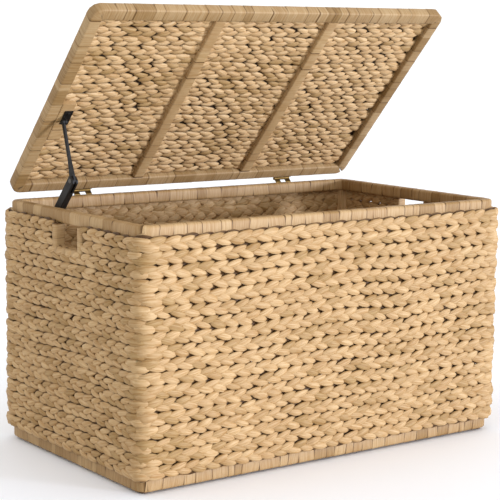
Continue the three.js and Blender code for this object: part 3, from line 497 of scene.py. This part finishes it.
# Flat strips wound round a stick, each lapping a little over the next.
def woundStrips(shape):
    tree, given = startTree("wound strips", {
        "Strips": "Int", "Steps": "Int", "Section Out": "Float", "Section Up": "Float",
        "Corner": "Float", "Narrowest": "Float", "Widest": "Float", "Lap": "Float",
        "Step Up": "Float", "Lean": "Float", "Stack": "Vector", "Seed": "Int",
        "Material": "Material"})
    size = given.outputs
    rail = add(tree, "GeometryNodeMeshToCurve", [size["Geometry"]])
    count = add(tree, "ShaderNodeMath", [size["Strips"], size["Steps"]], operation="MULTIPLY")
    points = add(tree, "GeometryNodePoints", [count])
    index = add(tree, "GeometryNodeInputIndex")
    step = add(tree, "ShaderNodeMath", [index, size["Steps"]], operation="MODULO")
    stripShare = add(tree, "ShaderNodeMath", [index, size["Steps"]], operation="DIVIDE")
    strip = add(tree, "ShaderNodeMath", [stripShare], operation="FLOOR")
    # strip widths are random, then scaled together so that they fill the path
    width = add(tree, "FunctionNodeRandomValue",
                {"ID": strip, "Seed": size["Seed"], 2: size["Narrowest"], 3: size["Widest"]},
                data_type="FLOAT")
    first = add(tree, "ShaderNodeMath", [step, 0.5], operation="LESS_THAN")
    counted = add(tree, "ShaderNodeMath", [width, first], operation="MULTIPLY")
    running = add(tree, "GeometryNodeAccumulateField", [counted], data_type="FLOAT")
    pathLength = add(tree, "GeometryNodeCurveLength", [rail])
    fit = add(tree, "ShaderNodeMath", [pathLength, running.outputs["Total"]], operation="DIVIDE")
    end = add(tree, "ShaderNodeMath", [running.outputs["Leading"], fit], operation="MULTIPLY")
    fitted = add(tree, "ShaderNodeMath", [width, fit], operation="MULTIPLY")
    start = add(tree, "ShaderNodeMath", [end, fitted], operation="SUBTRACT")
    lapEnd = add(tree, "ShaderNodeMath", [end, size["Lap"]], operation="ADD")
    last = add(tree, "ShaderNodeMath", [size["Steps"], 1.0], operation="SUBTRACT")
    length = add(tree, "ShaderNodeMapRange",
                 {"Value": step, "From Max": last, "To Min": start, "To Max": lapEnd})
    spot = add(tree, "GeometryNodeSampleCurve", {"Curves": rail, "Length": length}, mode="LENGTH")
    outward = add(tree, "ShaderNodeVectorMath", [spot.outputs["Tangent"], size["Stack"]],
                  operation="CROSS_PRODUCT")
    tint, fatness, lean = (
        add(tree, "FunctionNodeRandomValue", {"ID": strip, "Seed": seed, 2: least, 3: most},
            data_type="FLOAT")
        for seed, least, most in (
            (5, 0.0, 1.0), (9, shape["thin"], shape["thick"]), (13, -1.0, 1.0)))

    # each strip starts on top of the one before it and thins towards its end
    passed = add(tree, "ShaderNodeMath", [step, last], operation="DIVIDE")
    toGo = add(tree, "ShaderNodeMath", [1.0, passed], operation="SUBTRACT")
    swell = add(tree, "ShaderNodeMath", [toGo, fatness], operation="MULTIPLY")
    scale = add(tree, "ShaderNodeMath", [swell, size["Step Up"], 1.0], operation="MULTIPLY_ADD")
    # painted shade: proud runs down to 0 at a strip's end and below it where the next strip laps
    # over, and there the material mixes in its seam colour
    toEnd = add(tree, "ShaderNodeMath", [end, length], operation="SUBTRACT")
    seamWide = add(tree, "ShaderNodeMath", [fatness, shape["seamThick"], shape["seam"]],
                   operation="MULTIPLY_ADD")
    near = add(tree, "ShaderNodeMath", [toEnd, seamWide], operation="DIVIDE")
    shown = points
    for label, value, kind in (("across", length, "FLOAT"), ("tint", tint, "FLOAT"),
                               ("fat", scale, "FLOAT"), ("strip", strip, "FLOAT"),
                               ("step", step, "FLOAT"), ("proud", near, "FLOAT"),
                               ("lean", lean, "FLOAT"), ("outward", outward, "FLOAT_VECTOR"),
                               ("run", spot.outputs["Tangent"], "FLOAT_VECTOR")):
        shown = add(tree, "GeometryNodeStoreNamedAttribute",
                    {"Geometry": shown, "Name": label, "Value": value}, data_type=kind)
    laid = add(tree, "GeometryNodeSetPosition",
               {"Geometry": shown, "Position": spot.outputs["Position"]})
    stored = {label: add(tree, "GeometryNodeInputNamedAttribute", [label]).outputs[0]
              for label in ("strip", "step", "fat", "riseway", "lean")}
    curves = add(tree, "GeometryNodePointsToCurves",
                 {"Points": laid, "Curve Group ID": stored["strip"], "Weight": stored["step"]})
    away = add(tree, "GeometryNodeInputNamedAttribute", ["outward"], data_type="FLOAT_VECTOR")
    facing = add(tree, "GeometryNodeSetCurveNormal", {"Curve": curves, "Normal": away}, mode="FREE")
    section = add(tree, "GeometryNodeCurvePrimitiveQuadrilateral",
                  {"Width": size["Section Out"], "Height": size["Section Up"]})
    rounded = add(tree, "GeometryNodeFilletCurve",
                  {"Curve": section, "Count": shape["cornerPoints"], "Radius": size["Corner"]},
                  mode="POLY")
    here = add(tree, "GeometryNodeInputPosition")
    axes = add(tree, "ShaderNodeSeparateXYZ", [here])
    sectionUp = add(tree, "GeometryNodeStoreNamedAttribute",
                    {"Geometry": rounded, "Name": "riseway", "Value": axes.outputs[1]},
                    data_type="FLOAT")
    roundAbout = add(tree, "ShaderNodeMath", [axes.outputs[0], axes.outputs[1]], operation="ADD")
    sectionRound = add(tree, "GeometryNodeStoreNamedAttribute",
                       {"Geometry": sectionUp, "Name": "along", "Value": roundAbout},
                       data_type="FLOAT")
    band = add(tree, "GeometryNodeCurveToMesh",
               {"Curve": facing, "Profile Curve": sectionRound, "Scale": stored["fat"],
                "Fill Caps": True})

    # and leans a little, each by its own amount
    run = add(tree, "GeometryNodeInputNamedAttribute", ["run"], data_type="FLOAT_VECTOR")
    slant = add(tree, "ShaderNodeMath", [stored["riseway"], stored["lean"]], operation="MULTIPLY")
    slanted = add(tree, "ShaderNodeMath", [slant, size["Lean"]], operation="MULTIPLY")
    push = add(tree, "ShaderNodeVectorMath", {0: run, "Scale": slanted}, operation="SCALE")
    leaned = add(tree, "GeometryNodeSetPosition", {"Geometry": band, "Offset": push})
    smooth = add(tree, "GeometryNodeSetShadeSmooth", [leaned])
    whole = add(tree, "GeometryNodeRealizeInstances", [smooth])
    dressed = add(tree, "GeometryNodeSetMaterial",
                  {"Geometry": whole, "Material": size["Material"]})
    add(tree, "NodeGroupOutput", [dressed])
    return tree


plaits = plaitedRows(leafShape)
strips = woundStrips(stripShape)
print("node trees ready")


# a path as a mesh of edges, with a stretch that rises to 1 at each of the tight spots
def pathMesh(label, places, tightSpots=(), tightReach=0.03):
    mesh = bpy.data.meshes.new(label)
    mesh.from_pydata(places, [(n, n + 1) for n in range(len(places) - 1)], [])
    stretches, length, last = [], 0.0, Vector(places[0])
    for place in places:
        length += (Vector(place) - last).length
        last = Vector(place)
        near = min((abs(length - spot) for spot in tightSpots), default=tightReach)
        stretches.append(0.5 * (1 + math.cos(math.pi * min(near / tightReach, 1))))
    mesh.attributes.new("stretch", "FLOAT", "POINT").data.foreach_set("value", stretches)
    return mesh


# points every few millimetres along straight lines from corner to corner
def straightRun(corners, spacing=0.006):
    places = [Vector(corners[0])]
    for before, after in zip(corners, corners[1:]):
        start, finish = Vector(before), Vector(after)
        parts = max(1, round((finish - start).length / spacing))
        places += [start.lerp(finish, part / parts) for part in range(1, parts + 1)]
    return [tuple(place) for place in places]


# the leaves from start to end of a path, with two stitches to spare where rows start late
def leavesAlong(start, end, stitch):
    first = math.floor(start / stitch) - 2
    return {"Start": start, "End": end, "Stitch": stitch, "First Leaf": first,
            "Leaves": math.ceil(end / stitch) + 1 - first}


# a level rectangle with round corners, anticlockwise from the middle of the back right corner
def roundedLoop(halfX, halfY, radius, height, middle=(0.0, 0.0), cornerParts=8):
    corners = []
    half = cornerParts // 2
    for quarter in range(5):
        centreX = middle[0] + (halfX - radius) * (1, -1, -1, 1)[quarter % 4]
        centreY = middle[1] + (halfY - radius) * (1, 1, -1, -1)[quarter % 4]
        first = half if quarter == 0 else 0
        last = half if quarter == 4 else cornerParts
        for part in range(first, last + 1):
            angle = (quarter + part / cornerParts) * fullTurn / 4
            corners.append((centreX + radius * math.cos(angle), centreY + radius * math.sin(angle),
                            height))
    return straightRun(corners)


# the woven walls, whose ends have narrower leaves and a hand hole
wallSizes = {"outX": 0.429, "outY": 0.251, "thick": 0.012, "outerRadius": 0.022, "rows": 18,
             "bottom": 0.0275, "top": 0.454, "stitch": 0.0305, "leafLength": 0.049,
             "leafWidth": 0.0158, "endLeafWidth": 0.0135, "leafThick": 0.0066, "relief": 0.0052,
             "leafPoints": 7, "holeHalf": 0.05, "holeFrom": 0.401, "cornerReach": 0.034,
             "spareSteps": 20, "seed": 3}


def weaveWalls(sizes):
    inset = sizes["thick"] / 2
    halfX, halfY = sizes["outX"] - inset, sizes["outY"] - inset
    radius = sizes["outerRadius"] - inset
    loop = roundedLoop(halfX, halfY, radius, 0.0)
    # the path overlaps itself behind the back right corner, so that leaves can cross it
    spare = sizes["spareSteps"]
    path = loop[-spare - 1 : -1] + loop + loop[1 : spare + 1]
    lead = sum((Vector(b) - Vector(a)).length for a, b in zip(path[:spare], path[1 : spare + 1]))
    longWay = 2 * (halfX - radius) + radius * math.pi / 2
    shortWay = 2 * (halfY - radius) + radius * math.pi / 2
    ends = [lead, lead + longWay, lead + longWay + shortWay]
    ends += [ends[2] + longWay, ends[2] + longWay + shortWay]
    stitches = round((ends[-1] - lead) / sizes["stitch"])
    stitch = (ends[-1] - lead) / stitches
    pitch = (sizes["top"] - sizes["bottom"]) / sizes["rows"]
    walls = pathMesh("wall path", path, ends, sizes["cornerReach"])
    for side, start, end in zip(("back", "left", "front", "right"), ends, ends[1:]):
        hasHole = side in ("left", "right")
        wall = grow("woven_" + side, walls.copy(), plaits, {
            **leavesAlong(start, end, stitch),
            "Rows": sizes["rows"], "First Row": sizes["bottom"] + pitch / 2, "Row Pitch": pitch,
            "Leaf Points": sizes["leafPoints"], "Leaf Length": sizes["leafLength"],
            "Leaf Width": sizes["endLeafWidth" if hasHole else "leafWidth"],
            "Leaf Thick": sizes["leafThick"], "Relief": sizes["relief"], "Stack": upZ,
            "Gap At": (start + end) / 2, "Gap Half Width": sizes["holeHalf"] if hasHole else 0.0,
            "Gap From": sizes["holeFrom"] if hasHole else 1.0, "Seed": sizes["seed"],
            "Material": braidFinish})
        settle(wall, "chest", "braid", "woven_wall_" + side)


weaveWalls(wallSizes)

# the wrapped bands under and over the weave
bandSizes = {"halfX": 0.42, "halfY": 0.242, "thick": 0.02, "tall": 0.024, "cornerRadius": 0.0105,
             "bottomMiddle": 0.016, "topMiddle": 0.462, "bottomSeed": 21, "topSeed": 34}
bandWrap = {"Steps": 6, "Corner": 0.005, "Narrowest": 0.014, "Widest": 0.05, "Lap": 0.002,
            "Step Up": 0.045, "Lean": 0.16, "Stack": upZ, "Material": stripFinish}


def wrapBands(sizes, wrap):
    inset = sizes["thick"] / 2
    around = 4 * (sizes["halfX"] + sizes["halfY"])
    for level in ("bottom", "top"):
        loop = roundedLoop(sizes["halfX"] - inset, sizes["halfY"] - inset, sizes["cornerRadius"],
                           sizes[level + "Middle"])
        band = grow(level + "_band", pathMesh("band path", loop), strips, {
            **wrap, "Strips": round(2 * around / (wrap["Narrowest"] + wrap["Widest"])),
            "Section Out": sizes["thick"], "Section Up": sizes["tall"],
            "Seed": sizes[level + "Seed"]})
        settle(band, "chest", "wrapped_strip", *(f"{level}_rail_{side}" for side in sideNames))


wrapBands(bandSizes, bandWrap)

# the lid
lidHinge = next(joint for joint in frame["joints"] if joint["name"] == "lid_hinge")
lidSizes = {"openAngle": 47.4, "halfX": 0.416, "back": -0.009, "front": -0.489, "under": -0.006,
            "top": 0.015, "rail": 0.025, "cornerRadius": 0.008, "slatX": 0.1343,
            "slatWidth": 0.024, "slatTop": 0.005, "rows": 18, "weaveFrom": -0.4637,
            "weaveTo": -0.0343, "weaveMiddle": 0.0102, "tuckIn": 0.008, "stitch": 0.0305,
            "leafLength": 0.046, "leafWidth": 0.0143, "leafThick": 0.0064, "relief": 0.0052,
            "leafPoints": 7, "tightReach": 0.045, "seed": 8}
railWrap = {"Strips": 78, "Steps": 12, "Corner": 0.0035, "Narrowest": 0.014, "Widest": 0.05,
            "Lap": 0.002, "Step Up": 0.03, "Lean": 0.12, "Stack": upZ, "Seed": 47,
            "Material": lidStripFinish}
slatWrap = {"Strips": 9, "Steps": 5, "Corner": 0.003, "Narrowest": 0.02, "Widest": 0.09,
            "Lap": 0.002, "Step Up": 0.03, "Lean": 0.3, "Stack": upZ, "Material": stripFinish}
slatSeeds = {"left": 58, "right": 59}
# lid pieces are made lying shut with the hinge axis at the origin, then turned open
lidPlace = (Matrix.Translation(Vector(lidHinge["pos_m"]))
            @ Matrix.Rotation(-math.radians(lidSizes["openAngle"]), 4, "X"))


def makeLid(sizes):
    inset = sizes["rail"] / 2
    middleY = (sizes["front"] + sizes["back"]) / 2
    halfY = (sizes["back"] - sizes["front"]) / 2
    frameLoop = roundedLoop(sizes["halfX"] - inset, halfY - inset, sizes["cornerRadius"],
                            (sizes["top"] + sizes["under"]) / 2, (0.0, middleY))
    lidFrame = grow("lid_frame", pathMesh("lid path", frameLoop), strips, {
        **railWrap, "Section Out": sizes["rail"], "Section Up": sizes["top"] - sizes["under"]})
    lidFrame.data.transform(lidPlace)
    settle(lidFrame, "lid", "wrapped_strip", *(f"lid_rail_{side}" for side in sideNames))
    for side, sign in (("left", -1), ("right", 1)):
        x = sign * sizes["slatX"]
        z = (sizes["slatTop"] + sizes["under"]) / 2
        run = straightRun([(x, sizes["front"] + sizes["rail"], z),
                           (x, sizes["back"] - sizes["rail"], z)])
        slat = grow("wrapped_slat_" + side, pathMesh("slat path", run), strips, {
            **slatWrap, "Section Out": sizes["slatWidth"],
            "Section Up": sizes["slatTop"] - sizes["under"], "Seed": slatSeeds[side]})
        slat.data.transform(lidPlace)
        settle(slat, "lid", "wrapped_strip", "lid_slat_" + side)
    # the plaits run on over the slats and are tucked in behind the rails
    inside = sizes["halfX"] - sizes["rail"]
    edge = inside + sizes["tuckIn"]
    run = straightRun([(edge, 0.0, sizes["weaveMiddle"]), (-edge, 0.0, sizes["weaveMiddle"])])
    ends = [0.0, edge - sizes["slatX"], edge + sizes["slatX"], 2 * edge]
    pitch = (sizes["weaveTo"] - sizes["weaveFrom"]) / sizes["rows"]
    weavePath = pathMesh("lid weave path", run, ends, sizes["tightReach"])
    for side, start, end in zip(("right", "middle", "left"), ends, ends[1:]):
        bay = grow("lid_plaits_" + side, weavePath.copy(), plaits, {
            **leavesAlong(start, end, sizes["stitch"]),
            "Rows": sizes["rows"], "First Row": sizes["weaveFrom"] + pitch / 2, "Row Pitch": pitch,
            "Leaf Points": sizes["leafPoints"], "Leaf Length": sizes["leafLength"],
            "Leaf Width": sizes["leafWidth"], "Leaf Thick": sizes["leafThick"],
            "Relief": sizes["relief"], "Stack": upY,
            "Gap At": 0.0, "Gap Half Width": 0.0, "Gap From": 1.0, "Seed": sizes["seed"],
            "Material": lidFinish})
        bay.data.transform(lidPlace)
        settle(bay, "lid", "braid", "lid_weave_" + side)


makeLid(lidSizes)

# the pad under the lid and the block in the chest that the stay is screwed to
padWrap = {"Strips": 4, "Steps": 5, "Corner": 0.0025, "Narrowest": 0.02, "Widest": 0.034,
           "Lap": 0.0, "Step Up": 0.04, "Lean": 0.2, "Stack": upZ, "Seed": 61,
           "Material": stripFinish}
blockWrap = {"Strips": 3, "Steps": 5, "Corner": 0.003, "Narrowest": 0.018, "Widest": 0.03,
             "Lap": 0.0, "Step Up": 0.03, "Lean": 0.05, "Stack": upY, "Seed": 62,
             "Material": stripFinish}


def wrapPads():
    shut = lidPlace.inverted()
    corners = [shut @ vertex.co for vertex in frame["nodes"]["stay_lid_pad"].data.vertices]
    low = [min(corner[axis] for corner in corners) for axis in range(3)]
    high = [max(corner[axis] for corner in corners) for axis in range(3)]
    x, z = (low[0] + high[0]) / 2, (low[2] + high[2]) / 2
    run = straightRun([(x, low[1], z), (x, high[1], z)])
    pad = grow("wrapped_lid_pad", pathMesh("pad path", run), strips, {
        **padWrap, "Section Out": high[0] - low[0], "Section Up": high[2] - low[2]})
    pad.data.transform(lidPlace)
    settle(pad, "lid", "wrapped_strip", "stay_lid_pad")
    low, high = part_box("stay_wall_block")
    x, y = (low.x + high.x) / 2, (low.y + high.y) / 2
    run = straightRun([(x, y, low.z), (x, y, high.z)])
    block = grow("wrapped_wall_block", pathMesh("block path", run), strips, {
        **blockWrap, "Section Out": high.x - low.x, "Section Up": high.y - low.y})
    settle(block, "chest", "wrapped_strip", "stay_wall_block")


wrapPads()

# the lining of each hand hole: down one side, along the sill and up the other side
holeSizes = {"thick": 0.016, "bend": 0.009, "opening": 0.038, "sill": 0.4067, "deep": 0.021,
             "bendParts": 8, "spacing": 0.004}
holeWrap = {"Strips": 7, "Steps": 6, "Corner": 0.004, "Narrowest": 0.02, "Widest": 0.03,
            "Lap": 0.001, "Step Up": 0.03, "Lean": 0.06, "Stack": upX, "Seed": 71,
            "Material": stripFinish}


def lineHandHoles(sizes):
    bend, outer = sizes["bend"], sizes["opening"] + sizes["thick"] / 2
    bottom = sizes["sill"] - sizes["thick"] / 2 + bend
    parts = sizes["bendParts"]
    for side, sign in (("left", -1), ("right", 1)):
        low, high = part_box("handle_trim_" + side)
        x = sign * (min(abs(low.x), abs(high.x)) + sizes["deep"] / 2)
        corners = [(x, -outer, high.z)]
        for part in range(parts + 1):
            angle = fullTurn / 2 + part / parts * fullTurn / 2
            towards = (2 * part > parts) - (2 * part < parts)    # -1, 0 or 1
            corners.append((x, towards * (outer - bend) + bend * math.cos(angle),
                            bottom + bend * math.sin(angle)))
        corners.append((x, outer, high.z))
        run = straightRun(corners, sizes["spacing"])
        lining = grow("wrapped_hole_" + side, pathMesh("hole path", run), strips, {
            **holeWrap, "Section Out": sizes["thick"], "Section Up": sizes["deep"]})
        settle(lining, "chest", "wrapped_strip", "handle_trim_" + side)


lineHandHoles(holeSizes)

# small parts keep their CAD shape and take their real finishes
finishes = {"post_": postWood, "floor_board": floorWood, "foot_": glidePlastic,
            "hinge_": zincSteel, "stay_wall_plate": blackSteel, "stay_wall_pin": blackSteel,
            "stay_wall_screw": blackSteel, "stay_housing": blackNylon, "stay_bar": blackSteel,
            "stay_elbow": rivetSteel, "stay_lid_bracket": blackSteel, "stay_lid_pin": blackSteel,
            "stay_lid_screw": blackSteel}
for node, part in frame["nodes"].items():
    for prefix, finish in finishes.items():
        if node.startswith(prefix):
            part.data.materials.clear()
            part.data.materials.append(finish)
print("small parts finished")

# painted studio floor: matt and nearly white
studio = {"floorHalf": 30.0, "floor": "#F9FBFF", "floorRoughness": 0.9, "surround": 1.1,
          "sunPower": 3.4, "sunColour": (0.97, 1.04, 1.24), "sunWidth": 10,
          "sunFrom": (0.52, -0.84, 0.06)}    # the sun is a little cool beside the white surround
floorMaterial, floorTree, floorSurface = startMaterial("white studio floor")
floorSurface.inputs["Base Color"].default_value = linear(studio["floor"])
floorSurface.inputs["Roughness"].default_value = studio["floorRoughness"]
floorMesh = bpy.data.meshes.new("studio floor")
half = studio["floorHalf"]
floorMesh.from_pydata([(-half, -half, 0), (half, -half, 0), (half, half, 0), (-half, half, 0)], [],
                      [(0, 1, 2, 3)])
studioFloor = bpy.data.objects.new("studio_floor", floorMesh)
studioFloor.data.materials.append(floorMaterial)
bpy.context.scene.collection.objects.link(studioFloor)

world = bpy.data.worlds.new("studio")
bpy.context.scene.world = world
world.use_nodes = True
world.node_tree.nodes["Background"].inputs["Color"].default_value = white
world.node_tree.nodes["Background"].inputs["Strength"].default_value = studio["surround"]
bpy.context.scene.view_settings.view_transform = "Standard"

sun = bpy.data.lights.new("key", "SUN")
sun.energy = studio["sunPower"]
sun.color = studio["sunColour"]
sun.angle = math.radians(studio["sunWidth"])
sunHolder = bpy.data.objects.new("key", sun)
sunHolder.rotation_euler = Vector(studio["sunFrom"]).to_track_quat("Z", "Y").to_euler()
bpy.context.scene.collection.objects.link(sunHolder)
print("studio ready")

# the camera, with its angles in radians and its lens in millimetres
view = {"place": (-1.8378, -2.5004, 0.8203), "heading": 0.6303, "down": 0.1434, "roll": 0.0113,
        "lens": 113.69, "sensor": 36}
camera = bpy.data.cameras.new("camera")
camera.lens = view["lens"]
camera.sensor_width = view["sensor"]
eye = bpy.data.objects.new("camera", camera)
bpy.context.scene.collection.objects.link(eye)
heading, down, roll = view["heading"], view["down"], view["roll"]
ahead = Vector((math.sin(heading) * math.cos(down), math.cos(heading) * math.cos(down),
                -math.sin(down)))
right = Vector((math.cos(heading), -math.sin(heading), 0))
up = right.cross(ahead)
tilted = right * math.cos(roll) + up * math.sin(roll)
top = up * math.cos(roll) - right * math.sin(roll)
turn = Matrix((tilted, top, -ahead)).transposed().to_4x4()
eye.matrix_world = Matrix.Translation(Vector(view["place"])) @ turn
bpy.context.scene.camera = eye
